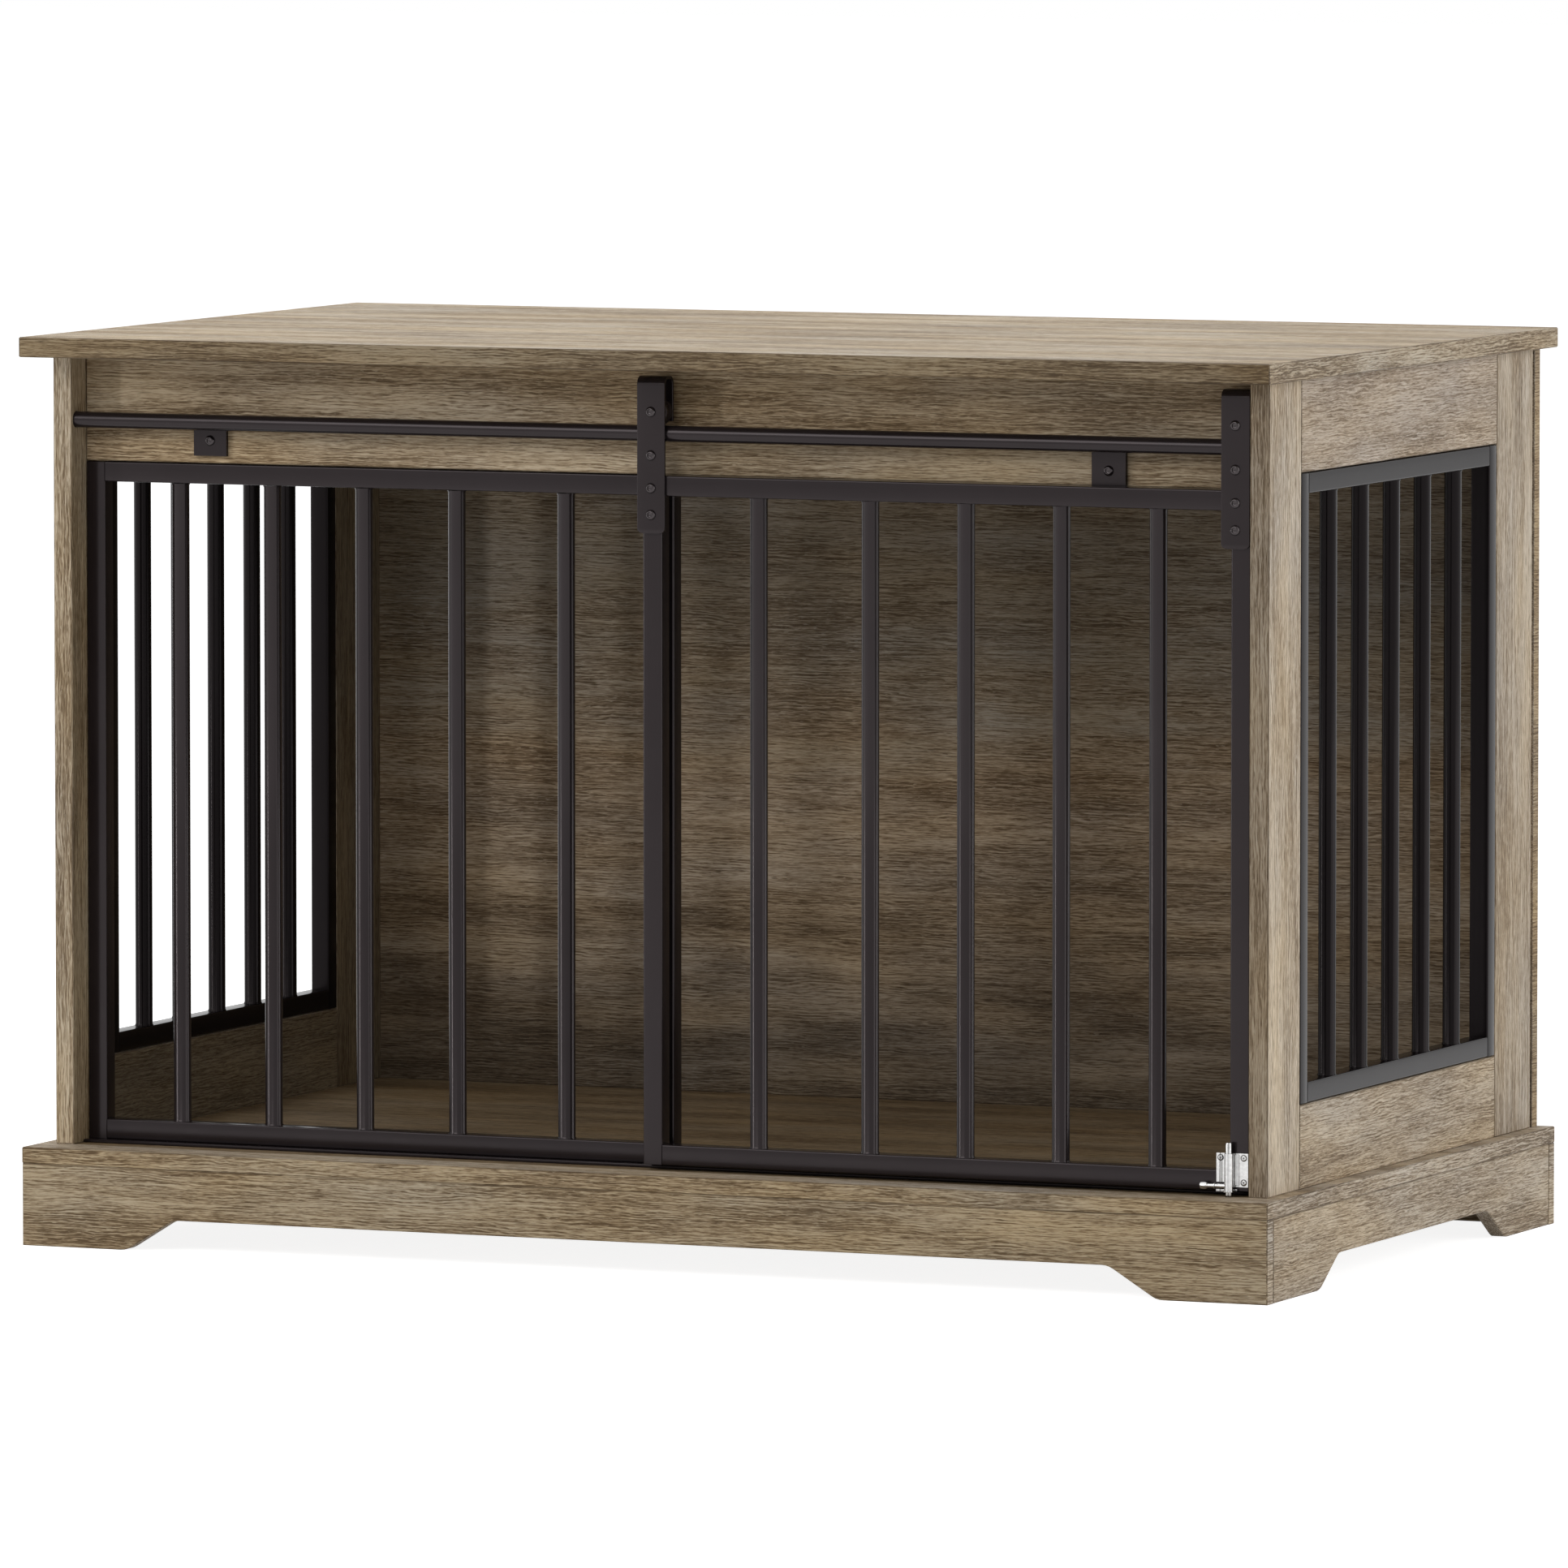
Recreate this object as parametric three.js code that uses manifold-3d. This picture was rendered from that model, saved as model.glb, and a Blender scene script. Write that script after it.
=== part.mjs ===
// Dog crate end table with a sliding barred door.
//
// A laminated cabinet stands on a plinth. Four welded steel grilles close it: two sides, the fixed half
// of the front, and a door that hangs on grooved rollers from a round rail. A small bolt locks the door.
//
// Millimetres, +Z up. The front faces -Y and the door closes towards +X.
// The origin is on the floor, under the middle of the table.

import * as THREE from 'three';
import { mergeVertices } from 'three/addons/utils/BufferGeometryUtils.js';
import Module from 'manifold-3d';

const wasm = await Module();
wasm.setup();

// ---- overall -------------------------------------------------------------------------------------
const tableWidth = 1000;
const tableDepth = 595;
const tableHeight = 680;
const topThickness = 15;
const baseThickness = 12.5;
const barSides = 20;
const boltSides = 16;
const rollerSides = 32;
const edgeEase = 0.7; // small chamfer along every board edge
const seam = 0.5; // joint line between boards that lie edge to edge

// ---- plinth --------------------------------------------------------------------------------------
const plinthHeight = 61.5;
const plinthThickness = 12;
const cutoutRise = 23.7;
const cutoutRun = 38.5; // length of the sloping end of a cut-out
const frontFoot = 86; // from the table's corner to the cut-out, at the floor
const sideFoot = 105.5;
const cutoutFillet = 5;
const cornerBlockLeg = 38;
const cornerBlockHeight = 45;

// ---- cabinet -------------------------------------------------------------------------------------
const sideOverhang = 12.5; // how far the top and the base stand past the cabinet
const frontOverhang = 32;
const rearOverhang = 4;
const postThickness = 15;
const frontPostDepth = 63.5;
const rearPostDepth = 80;
const shadowGrooveWidth = 4.5;
const shadowGrooveDepth = 3;
const panelThickness = 12;
const apronThickness = 15;
const apronSetback = 24.5; // from the front of the posts to the front of the apron
const apronHeight = 79;
const upperBoardHeight = 68.5;
const lowerBoardHeight = 61.5;

// ---- grilles -------------------------------------------------------------------------------------
const tubeSize = 15;
const tubeCorner = 1.2;
const barRadius = 6.5;
const weldGap = 0.1; // between a grille's stile and the ends of its rails
const weldDepth = 0.5; // how far a bar's end is sunk into a rail
const frameGap = 0.8; // between a grille and the boards around it
const sideBarCount = 5;
const grilleHeadGap = 1; // from the fixed grille up to the apron
// Bar centres of a front grille, as parts of the way from its outer stile to its inner one.
const barShares = [0.144, 0.307, 0.469, 0.632, 0.823];

// ---- rail ----------------------------------------------------------------------------------------
const railRadius = 6;
const railBelowTop = 47.8; // from the underside of the top to the rail's centre
const railSocketDepth = 6;
const railSocketGap = 0.3;
const clipWidth = 26.8;
const clipThickness = 3.5;
const clipDrops = [25.7, 31.5]; // left and right: from the rail's centre to the clip's lower edge
const clipSaddleBelow = 4.5;
const clipSaddleAbove = 2;
const clipInsets = [104.5, 118.5]; // left and right: from the post to the clip's middle
const clipScrewRise = 11.5; // from the clip's lower edge to its screw

// ---- floor track ---------------------------------------------------------------------------------
const trackThickness = 2.5;
const trackLip = 9; // how far the track shows in front of the fixed grille

// ---- sliding door and its hangers ----------------------------------------------------------------
const doorSideGap = 0.5;
const doorFloorGap = 1.5; // from the track up to the door
const strapWidth = 22;
const strapThickness = 2.5;
const strapInside = 12.5; // between the two leaves
const strapBend = 6; // outer radius of the two bends
const strapAboveAxle = 26.1;
const strapBelowAxle = 89.4;
const strapBackLeaf = 7.4; // how far the back leaf reaches below the axle
const strapCorner = 4;
const rightHangerShift = 3.5; // towards the middle, clear of the post
const liftBoltDrop = 32; // bolt centres, below the axle
const liftBoltReach = 9; // how far the lift bolt reaches under the rail, behind the strap
const upperBoltDrop = 56.1;
const lowerBoltDrop = 75.7;
const rollerTread = 10.1;
const rollerFlange = 11.3; // just inside the strap's edge, so that it clears the closing post
const rollerHalfWidth = 5.7;
const rollerGap = 0.15; // between the groove and the rail

// ---- bolts ---------------------------------------------------------------------------------------
const boltRadius = 3;
const boltHead = 3.9;
const boltHeadHeight = 2.2;
const boltSocket = 1.9;
const boltSocketDepth = 1.2;
const boltPlay = 0.06; // radial play of a bolt in its hole
const boltGrip = 10; // length beyond the piece that the bolt holds
const nutRadius = 5.6;
const nutHeight = 3;
const boltBeyondNut = 0.5;

// ---- lock ----------------------------------------------------------------------------------------
const lockSheet = 1.2;
const lockStandoff = 0.3; // between the plate and the door
const lockWidth = 24.8;
const lockRodInset = 14; // from the plate's right edge to the rod
const lockPlateFoot = 7; // heights above the base board
const lockPlateHead = 31.7;
const lockWingFoot = 10.4;
const lockLipHeight = 2.2;
const lockLipDrop = 3.5; // from the plate's bottom to the lip's
const lockNeckInset = 6.6; // from the plate's right edge to the raised neck beside the barrel
const lockStem = 2; // how far the plate under the barrel runs on to its left
const lockRidge = 0.8; // how far the ridges stand out of the plate
const beadWidth = 2;
const rodRadius = 2.5;
const rodHead = 39.6;
const rodPlay = 0.2;
const barrelWall = 0.8;
const rodFloorGap = 0.5; // from the raised rod's tip to the base board
const keeperDepth = 6;
const keeperPlay = 0.7;
const knobRise = 7.8;
const knobReach = 22; // from the rod's centre to the end of the knob
const knobPinRadius = 1.6;
const knobRadius = 2.9;
const knobLength = 5.8;
const lockScrewRadius = 1.25;
const lockScrewHead = 2.1;
const lockScrewHeadHeight = 0.9;
const lockScrewGrip = 6; // length of a lock screw
const socketPart = 0.6; // a lock screw's socket, as a part of the screw
const lockScrewInset = 3.4; // from the plate's edges

// ---- derived places ------------------------------------------------------------------------------
const topUnderside = tableHeight - topThickness;
const baseTop = plinthHeight + baseThickness;
const cabinetHeight = topUnderside - baseTop;
const outerX = tableWidth / 2 - sideOverhang;
const innerX = outerX - postThickness;
const postX = outerX - postThickness / 2;
const frontY = -tableDepth / 2 + frontOverhang;
const rearY = tableDepth / 2 - rearOverhang;
const panelFront = rearY - panelThickness;
const frontPostRear = frontY + frontPostDepth;
const rearPostFront = panelFront - rearPostDepth;
const sideSpan = rearPostFront - frontPostRear;
const sideMiddle = (rearPostFront + frontPostRear) / 2;
const apronFront = frontY + apronSetback;
const trackTop = baseTop + trackThickness;
const doorFront = frontY + strapThickness;
const railZ = topUnderside - railBelowTop;
const railY = doorFront + strapInside / 2;
const axleZ = railZ + railRadius + rollerGap + rollerTread;
const strapRear = doorFront + strapInside + strapThickness;
const grilleWidth = innerX + tubeSize / 2 - doorSideGap;
const grilleMiddle = (innerX - doorSideGap - tubeSize / 2) / 2;
const doorBottom = trackTop + doorFloorGap;
const frontGrilleHeight = topUnderside - apronHeight - grilleHeadGap - trackTop;
const clipPlaces = [clipInsets[0] - innerX, innerX - clipInsets[1]];
const hangerPlaces = [0, innerX - doorSideGap - tubeSize / 2 - rightHangerShift];
const lockRight = innerX - doorSideGap;
const lockBack = doorFront - lockStandoff;
const lockFace = lockBack - lockSheet;
const lockPlateBottom = baseTop + lockPlateFoot;
const lockPlateTop = baseTop + lockPlateHead;
const rodX = lockRight - lockRodInset;
const rodY = lockFace - rodRadius - rodPlay;
const barrelRadius = rodRadius + rodPlay + barrelWall;
const lockScrewX = lockRight - lockScrewInset;
const lockScrewHeights = [lockPlateBottom + lockScrewInset, lockPlateTop - lockScrewInset];

// ---- finishes ------------------------------------------------------------------------------------
const oak = () => new THREE.MeshStandardMaterial({ color: 0x9a8a70, roughness: 0.62, metalness: 0 });
const darkOak = () => new THREE.MeshStandardMaterial({ color: 0x6f604b, roughness: 0.7, metalness: 0 });
const blackSteel = () => new THREE.MeshStandardMaterial({ color: 0x3a3637, roughness: 0.5, metalness: 0.5 });
const nickel = () => new THREE.MeshStandardMaterial({ color: 0xcfcfcf, roughness: 0.25, metalness: 1 });

// ---- directions ----------------------------------------------------------------------------------
// Each turns a shape that is drawn in local XY, with its thickness or length along local Z.
const axisX = new THREE.Vector3(1, 0, 0);
const axisY = new THREE.Vector3(0, 1, 0);
const axisZ = new THREE.Vector3(0, 0, 1);
const facingUp = new THREE.Matrix4();
const facingFront = new THREE.Matrix4().makeBasis(axisX, axisZ, axisY.clone().negate());
const facingSide = new THREE.Matrix4().makeBasis(axisY, axisZ, axisX);

// ---- solids --------------------------------------------------------------------------------------
function toSolid(geometry) {
  const bare = geometry.clone();
  bare.deleteAttribute('normal');
  bare.deleteAttribute('uv');
  const merged = mergeVertices(bare, 1e-4);
  return new wasm.Manifold(new wasm.Mesh({
    numProp: 3,
    vertProperties: new Float32Array(merged.attributes.position.array),
    triVerts: new Uint32Array(merged.index.array),
  }));
}

function toGeometry(solid) {
  const mesh = solid.getMesh();
  const geometry = new THREE.BufferGeometry();
  geometry.setAttribute('position', new THREE.BufferAttribute(new Float32Array(mesh.vertProperties), 3));
  geometry.setIndex(new THREE.BufferAttribute(new Uint32Array(mesh.triVerts), 1));
  return geometry;
}

function cut(geometry, ...tools) {
  const solid = tools.reduce((rest, tool) => rest.subtract(toSolid(tool)), toSolid(geometry));
  return toGeometry(solid);
}

function join(...geometries) {
  const solids = geometries.map(toSolid);
  return toGeometry(solids.reduce((sum, solid) => sum.add(solid)));
}

function common(first, second) {
  return toGeometry(toSolid(first).intersect(toSolid(second)));
}

// An outline through corners [x, y, radius], each rounded by its radius.
function outline(corners) {
  const shape = new THREE.Shape();
  corners.forEach(([x, y, radius = 0], index) => {
    const corner = new THREE.Vector2(x, y);
    const before = new THREE.Vector2(...corners.at(index - 1));
    const after = new THREE.Vector2(...corners[(index + 1) % corners.length]);
    const arrive = before.sub(corner).setLength(radius).add(corner);
    const leave = after.sub(corner).setLength(radius).add(corner);
    if (index === 0) shape.moveTo(arrive.x, arrive.y);
    else shape.lineTo(arrive.x, arrive.y);
    if (radius > 0) shape.quadraticCurveTo(x, y, leave.x, leave.y);
  });
  shape.closePath();
  return shape;
}

function rectangle(width, height, radius = 0) {
  const x = width / 2;
  const y = height / 2;
  return outline([[-x, -y, radius], [x, -y, radius], [x, y, radius], [-x, y, radius]]);
}

// A board: an outline given a thickness about its middle, with chamfered edges.
function slab(shape, thickness, direction, ease = edgeEase) {
  const geometry = new THREE.ExtrudeGeometry(shape, {
    depth: thickness - 2 * ease,
    bevelEnabled: ease > 0,
    bevelThickness: ease,
    bevelSize: ease,
    bevelOffset: -ease,
    bevelSegments: 1,
    curveSegments: 3,
  });
  geometry.translate(0, 0, ease - thickness / 2);
  return geometry.applyMatrix4(direction);
}

function board(width, height, thickness, direction) {
  return slab(rectangle(width, height), thickness, direction);
}

// A plain block from its lowest to its highest corner.
function block(low, high) {
  const size = high.map((value, axis) => value - low[axis]);
  const middle = high.map((value, axis) => (value + low[axis]) / 2);
  return new THREE.BoxGeometry(...size).translate(...middle);
}

// A round bar about its middle, along the local Z of a direction.
function bar(radius, length, direction, facets = barSides) {
  const geometry = new THREE.CylinderGeometry(radius, radius, length, facets);
  geometry.applyMatrix4(new THREE.Matrix4().makeBasis(axisX, axisZ, axisY.clone().negate()));
  return geometry.applyMatrix4(direction);
}

// A profile of [radius, y] points, turned about the Y axis.
function turned(profile, facets) {
  return new THREE.LatheGeometry(profile.map(([radius, y]) => new THREE.Vector2(radius, y)), facets);
}

// ---- fasteners -----------------------------------------------------------------------------------
// A domed bolt along +Y: its head's underside is at the origin, and its hex socket opens to -Y.
function domedBolt(radius, length, head, headHeight, socket, socketDepth) {
  const domeSteps = 4;
  const crown = 0.55; // part of the head's radius that is flat on top
  const rim = 0.2; // part of the head's height that is upright at its edge
  const profile = [[0, -headHeight]];
  for (let step = 0; step <= domeSteps; step += 1) {
    const angle = (step / domeSteps) * Math.PI / 2;
    const spread = crown + (1 - crown) * Math.sin(angle);
    profile.push([head * spread, -headHeight * (rim + (1 - rim) * Math.cos(angle))]);
  }
  profile.push([head, 0], [radius, 0], [radius, length], [0, length]);
  const hexagon = bar(socket, socketDepth * 2, facingFront, 6).translate(0, -headHeight, 0);
  return cut(turned(profile, boltSides), hexagon);
}

function boltHole(radius, length) {
  return bar(radius, length, facingFront, boltSides);
}

// ---- the scene graph -----------------------------------------------------------------------------
const table = new THREE.Group();
const sides = ['left', 'right'];

function place(name, geometry, material, x = 0, y = 0, z = 0, parent = table) {
  const mesh = new THREE.Mesh(geometry, material);
  mesh.name = name;
  mesh.position.set(x, y, z);
  parent.add(mesh);
  return mesh;
}

// ---- top, base and plinth ------------------------------------------------------------------------
function makeTopAndBase() {
  const top = board(tableWidth, tableDepth, topThickness, facingUp);
  place('table_top', top, oak(), 0, 0, tableHeight - topThickness / 2);

  const keeper = bar(rodRadius + keeperPlay, 2 * keeperDepth, facingUp)
    .translate(rodX, rodY, baseThickness / 2);
  const base = cut(board(tableWidth, tableDepth, baseThickness, facingUp), keeper);
  place('base_board', base, oak(), 0, 0, baseTop - baseThickness / 2);
}

// A plinth board with its trapezoid cut-out; its middle is at the origin.
function plinthBoard(length, foot) {
  const x = length / 2;
  const y = plinthHeight / 2;
  const slope = x - foot - cutoutRun;
  const corners = [
    [-x, -y], [foot - x, -y, cutoutFillet], [-slope, cutoutRise - y, cutoutFillet],
    [slope, cutoutRise - y, cutoutFillet], [x - foot, -y, cutoutFillet], [x, -y], [x, y], [-x, y],
  ];
  return outline(corners);
}

function makePlinth() {
  const endY = tableDepth / 2 - plinthThickness / 2;
  const sideX = tableWidth / 2 - plinthThickness / 2;
  const sideLength = tableDepth - 2 * plinthThickness - 2 * seam;
  const sideFootLeft = sideFoot - plinthThickness - seam;
  const across = () => slab(plinthBoard(tableWidth, frontFoot), plinthThickness, facingFront);
  const along = () => slab(plinthBoard(sideLength, sideFootLeft), plinthThickness, facingSide);
  place('front_plinth', across(), oak(), 0, -endY, plinthHeight / 2);
  place('rear_plinth', across(), oak(), 0, endY, plinthHeight / 2);
  place('left_plinth', along(), oak(), -sideX, 0, plinthHeight / 2);
  place('right_plinth', along(), oak(), sideX, 0, plinthHeight / 2);

  const cornerX = tableWidth / 2 - plinthThickness - seam;
  const cornerY = tableDepth / 2 - plinthThickness - seam;
  for (const [side, signX] of [['left', -1], ['right', 1]]) {
    for (const [end, signY] of [['front', -1], ['rear', 1]]) {
      const wedge = [[0, 0], [-signX * cornerBlockLeg, 0], [0, -signY * cornerBlockLeg]];
      if (signX * signY < 0) wedge.reverse();
      place(`${end}_${side}_corner_block`, slab(outline(wedge), cornerBlockHeight, facingUp, 0), darkOak(),
        signX * cornerX, signY * cornerY, plinthHeight - cornerBlockHeight / 2);
    }
  }
}

// ---- posts, boards, apron and back ---------------------------------------------------------------
function makeCabinet() {
  const middleZ = baseTop + cabinetHeight / 2;
  for (const [side, sign] of [['left', -1], ['right', 1]]) {
    const frontPostY = frontY + frontPostDepth / 2;
    const socket = bar(railRadius + railSocketGap, 2 * railSocketDepth, facingSide)
      .translate(-sign * postThickness / 2, railY - frontPostY, railZ - middleZ);
    const frontPost = cut(board(frontPostDepth, cabinetHeight, postThickness, facingSide), socket);
    place(`front_${side}_post`, frontPost, oak(), sign * postX, frontPostY, middleZ);

    const rearPostY = panelFront - rearPostDepth / 2;
    const grooveX = postThickness / 2 - shadowGrooveDepth;
    const rear = rearPostDepth / 2;
    const groove = block(
      [Math.min(sign * grooveX, sign * postThickness), rear - shadowGrooveWidth, -cabinetHeight],
      [Math.max(sign * grooveX, sign * postThickness), rear + shadowGrooveWidth, cabinetHeight],
    );
    const rearPost = cut(board(rearPostDepth, cabinetHeight, postThickness, facingSide), groove);
    place(`rear_${side}_post`, rearPost, oak(), sign * postX, rearPostY, middleZ);

    const boardLength = sideSpan - 2 * seam;
    const upper = board(boardLength, upperBoardHeight, postThickness, facingSide);
    const lower = board(boardLength, lowerBoardHeight, postThickness, facingSide);
    const x = sign * postX;
    place(`${side}_upper_board`, upper, oak(), x, sideMiddle, topUnderside - upperBoardHeight / 2);
    place(`${side}_lower_board`, lower, oak(), x, sideMiddle, baseTop + lowerBoardHeight / 2);
  }

  const apronY = apronFront + apronThickness / 2;
  const apronZ = topUnderside - apronHeight / 2;
  const screwHoles = clipPlaces.map((x, index) => boltHole(boltRadius + boltPlay, 2 * boltGrip + 1)
    .translate(x, -apronThickness / 2, railZ + clipScrewZ(index) - apronZ));
  const apron = cut(board(2 * innerX - 2 * seam, apronHeight, apronThickness, facingFront), ...screwHoles);
  place('apron_front', apron, oak(), 0, apronY, apronZ);

  const panel = board(2 * outerX, cabinetHeight, panelThickness, facingFront);
  place('back_panel', panel, darkOak(), 0, rearY - panelThickness / 2, middleZ);
}

// ---- grilles -------------------------------------------------------------------------------------
function squareTube(length, direction) {
  return slab(rectangle(tubeSize, tubeSize, tubeCorner), length, direction, 0);
}

// A welded grille in its own frame: X across, Z up, Y through, with its middle at the origin.
// barPlaces are X values; holes { x, z, radius }, if any, are drilled into the stile that they lie on.
function makeGrille(name, stileNames, width, height, barPlaces, parent, holes = []) {
  const stileX = (width - tubeSize) / 2;
  stileNames.forEach((stileName, index) => {
    const x = index === 0 ? -stileX : stileX;
    const drills = holes.filter((hole) => hole.x * x > 0).map((hole) => (
      boltHole(hole.radius, 2 * boltGrip + 1).translate(hole.x - x, -tubeSize / 2, hole.z)));
    const stile = cut(squareTube(height, facingUp), ...drills);
    place(`${name}_${stileName}`, stile, blackSteel(), x, 0, 0, parent);
  });

  const railLength = width - 2 * tubeSize - 2 * weldGap;
  const offset = (height - tubeSize) / 2;
  const rails = [-offset, offset].map((z) => squareTube(railLength, facingSide).translate(0, 0, z));
  const barLength = height - 2 * tubeSize + 2 * weldDepth;
  const bars = barPlaces.map((x) => bar(barRadius, barLength, facingUp).translate(x, 0, 0));
  place(`${name}_rails_and_bars`, join(...rails, ...bars), blackSteel(), 0, 0, 0, parent);
}

function makeSideGrilles() {
  const width = sideSpan - 2 * frameGap;
  const bottom = baseTop + lowerBoardHeight + frameGap;
  const top = topUnderside - upperBoardHeight - frameGap;
  const clear = (width - 2 * tubeSize - 2 * sideBarCount * barRadius) / (sideBarCount + 1);
  const pitch = clear + 2 * barRadius;
  const places = Array.from({ length: sideBarCount }, (_, i) => (i - (sideBarCount - 1) / 2) * pitch);
  for (const [side, sign] of [['left', -1], ['right', 1]]) {
    const holder = new THREE.Group();
    holder.position.set(sign * (outerX - tubeSize / 2), sideMiddle, (bottom + top) / 2);
    holder.rotation.z = Math.PI / 2;
    table.add(holder);
    makeGrille(`${side}_grille`, ['front_stile', 'rear_stile'], width, top - bottom, places, holder);
  }
}

// Bar places of a front grille, from the middle of the grille; outward is -1 or +1.
function frontBarPlaces(outward) {
  const stileSpan = grilleWidth - tubeSize;
  return barShares.map((share) => outward * stileSpan * (1 / 2 - share));
}

function makeFrontGrilles() {
  const fixed = new THREE.Group();
  fixed.position.set(-grilleMiddle, apronFront + tubeSize / 2, trackTop + frontGrilleHeight / 2);
  table.add(fixed);
  makeGrille('fixed_grille', ['left_stile', 'right_stile'], grilleWidth, frontGrilleHeight,
    frontBarPlaces(-1), fixed);

  const doorZ = doorBottom + frontGrilleHeight / 2;
  const door = new THREE.Group();
  door.position.set(grilleMiddle, doorFront + tubeSize / 2, doorZ);
  table.add(door);
  const hole = (x, z, radius) => ({ x: x - grilleMiddle, z: z - doorZ, radius: radius + boltPlay });
  const holes = hangerPlaces.flatMap((x) => [upperBoltDrop, lowerBoltDrop]
    .map((drop) => hole(x, axleZ - drop, boltRadius)));
  holes.push(...lockScrewHeights.map((z) => hole(lockScrewX, z, lockScrewRadius)));
  makeGrille('door', ['left_stile', 'right_stile'], grilleWidth, frontGrilleHeight, frontBarPlaces(1), door,
    holes);
}

// ---- rail, clips and track -----------------------------------------------------------------------
// The screw's height from the rail's centre.
function clipScrewZ(index) {
  return clipScrewRise - clipDrops[index];
}

// A clip about the rail's centre: a flat foot on the apron, with a block that reaches forward to the rail.
function makeClip(index) {
  const rear = apronFront - railY;
  const front = rear - clipThickness;
  const side = outline([
    [rear, -clipDrops[index]], [rear, clipSaddleAbove], [0, clipSaddleAbove], [0, -clipSaddleBelow],
    [front, -clipSaddleBelow], [front, -clipDrops[index]],
  ]);
  const seat = bar(railRadius + railSocketGap, 2 * clipWidth, facingSide);
  const hole = boltHole(boltRadius + boltPlay, 3 * clipThickness).translate(0, front, clipScrewZ(index));
  return cut(slab(side, clipWidth, facingSide, 0), seat, hole);
}

function makeRail() {
  const railLength = 2 * (innerX + railSocketDepth - railSocketGap);
  place('rail_bar', bar(railRadius, railLength, facingSide), blackSteel(), 0, railY, railZ);

  const screw = domedBolt(boltRadius, clipThickness + boltGrip, boltHead, boltHeadHeight, boltSocket,
    boltSocketDepth);
  sides.forEach((name, index) => {
    const x = clipPlaces[index];
    place(`${name}_rail_clip`, makeClip(index), blackSteel(), x, railY, railZ);
    place(`${name}_rail_clip_screw`, screw.clone(), blackSteel(), x, apronFront - clipThickness,
      railZ + clipScrewZ(index));
  });

  const trackFront = apronFront - trackLip;
  const trackDepth = trackLip + tubeSize;
  const track = board(2 * innerX - 2 * seam, trackDepth, trackThickness, facingUp);
  place('floor_track', track, blackSteel(), 0, trackFront + trackDepth / 2, baseTop + trackThickness / 2);
}

// ---- hangers and rollers -------------------------------------------------------------------------
// The strap's side view in Y and Z about the axle: up the front leaf, over two bends, down the back leaf.
function strapSide() {
  const front = doorFront - strapThickness - railY;
  const frontInner = doorFront - railY;
  const rear = strapRear - railY;
  const innerBend = strapBend - strapThickness;
  return outline([
    [front, -strapBelowAxle], [frontInner, -strapBelowAxle],
    [frontInner, strapAboveAxle - strapThickness, innerBend],
    [rear - strapThickness, strapAboveAxle - strapThickness, innerBend],
    [rear - strapThickness, -strapBackLeaf], [rear, -strapBackLeaf],
    [rear, strapAboveAxle, strapBend], [front, strapAboveAxle, strapBend],
  ]);
}

function makeStrap() {
  const side = slab(strapSide(), strapWidth, facingSide, 0);
  const height = strapAboveAxle + strapBelowAxle;
  const x = strapWidth / 2;
  const face = outline([
    [-x, -height / 2, strapCorner], [x, -height / 2, strapCorner], [x, height / 2], [-x, height / 2],
  ]);
  const middle = (strapAboveAxle - strapBelowAxle) / 2;
  const window = slab(face, 4 * strapInside, facingFront, 0).translate(0, 0, middle);
  const holes = [0, liftBoltDrop, upperBoltDrop, lowerBoltDrop].map((drop) => (
    boltHole(boltRadius + boltPlay, 4 * strapInside).translate(0, 0, -drop)));
  return cut(common(side, window), ...holes);
}

// A grooved wheel about the Y axis: its groove is an arc around the rail.
function makeRoller() {
  const grooveRadius = railRadius + rollerGap;
  const railBelowAxle = rollerTread + grooveRadius;
  const edgeAngle = Math.acos((railBelowAxle - rollerFlange) / grooveRadius);
  const arcSteps = 6;
  const bore = boltRadius + boltPlay;
  const profile = [[bore, -rollerHalfWidth], [rollerFlange, -rollerHalfWidth]];
  for (let step = 0; step <= arcSteps; step += 1) {
    const angle = edgeAngle * (2 * step / arcSteps - 1);
    profile.push([railBelowAxle - grooveRadius * Math.cos(angle), grooveRadius * Math.sin(angle)]);
  }
  profile.push([rollerFlange, rollerHalfWidth], [bore, rollerHalfWidth], [bore, -rollerHalfWidth]);
  return turned(profile, rollerSides);
}

function makeHangers() {
  const strapFront = doorFront - strapThickness;
  const head = [boltHead, boltHeadHeight, boltSocket, boltSocketDepth];
  const axleLength = strapRear - strapFront + nutHeight + boltBeyondNut;
  const nutHole = boltHole(boltRadius + boltPlay, 3 * nutHeight);
  const nut = cut(bar(nutRadius, nutHeight, facingFront, 6), nutHole);
  const strap = makeStrap();
  const roller = makeRoller();
  const axle = domedBolt(boltRadius, axleLength, ...head);
  const liftBolt = domedBolt(boltRadius, strapThickness + liftBoltReach, ...head);
  const doorBolt = domedBolt(boltRadius, strapThickness + boltGrip, ...head);

  sides.forEach((name, index) => {
    const x = hangerPlaces[index];
    const add = (piece, geometry, y, drop) => place(`${name}_${piece}`, geometry.clone(), blackSteel(),
      x, y, axleZ - drop);
    add('hanger', strap, railY, 0);
    add('roller', roller, railY, 0);
    add('axle_bolt', axle, strapFront, 0);
    add('axle_nut', nut, strapRear + nutHeight / 2, 0);
    add('lift_bolt', liftBolt, strapFront, liftBoltDrop);
    add('hanger_upper_bolt', doorBolt, strapFront, upperBoltDrop);
    add('hanger_lower_bolt', doorBolt, strapFront, lowerBoltDrop);
  });
}

// ---- lock ----------------------------------------------------------------------------------------
// A piece of the lock from a height to a height, in plan about the rod.
function lockPiece(shape, bottom, top) {
  return slab(shape, top - bottom, facingUp, 0).translate(0, 0, (bottom + top) / 2);
}

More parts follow.
